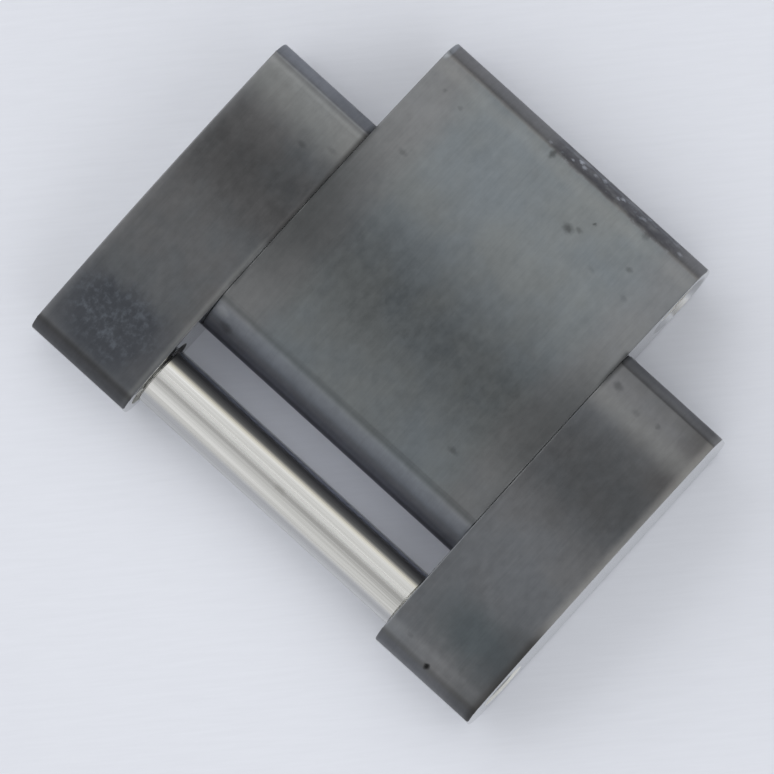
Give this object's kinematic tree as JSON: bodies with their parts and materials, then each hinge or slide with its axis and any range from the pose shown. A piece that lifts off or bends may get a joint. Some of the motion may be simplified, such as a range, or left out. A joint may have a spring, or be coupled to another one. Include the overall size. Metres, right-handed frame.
{
  "type": "watch bracelet link",
  "caption": "Removable watch bracelet link with a domed centre plate set ahead of its outer plates, a pivot tube between the ears and a push-out split pin.",
  "frame": {"origin": "middle of the link's outline, on the plane of its underside", "axes": "+X across the bracelet along the pivot, +Y along the bracelet towards the end where the centre plate projects, +Z out of the wrist"},
  "size_m": [0.016, 0.0134, 0.003],
  "materials": {
    "plate_steel": "satin, brushed along the bracelet, darkened by wear",
    "rod_steel": "plain ground rod, hidden inside the plates",
    "tube_steel": "bright drawn tube with fine lines along its length",
    "pin_steel": "bright drawn wire"
  },
  "bodies": {
    "link": {"left_outer_plate": "plate_steel", "right_outer_plate": "plate_steel", "centre_plate": "plate_steel", "rear_fixing_rod": "rod_steel", "front_fixing_rod": "rod_steel"},
    "tube": {"pivot_tube": "tube_steel"},
    "pin": {"split_pin": "pin_steel"}
  },
  "joints": [
    {"name": "tube_spin", "type": "hinge", "parent": "link", "child": "tube", "pos_m": [0, -0.00532, 0.00125], "axis": [1, 0, 0], "continuous": true},
    {"name": "pin_slide", "type": "slide", "parent": "link", "child": "pin", "axis": [1, 0, 0], "range_m": [0, 0.016]}
  ]
}
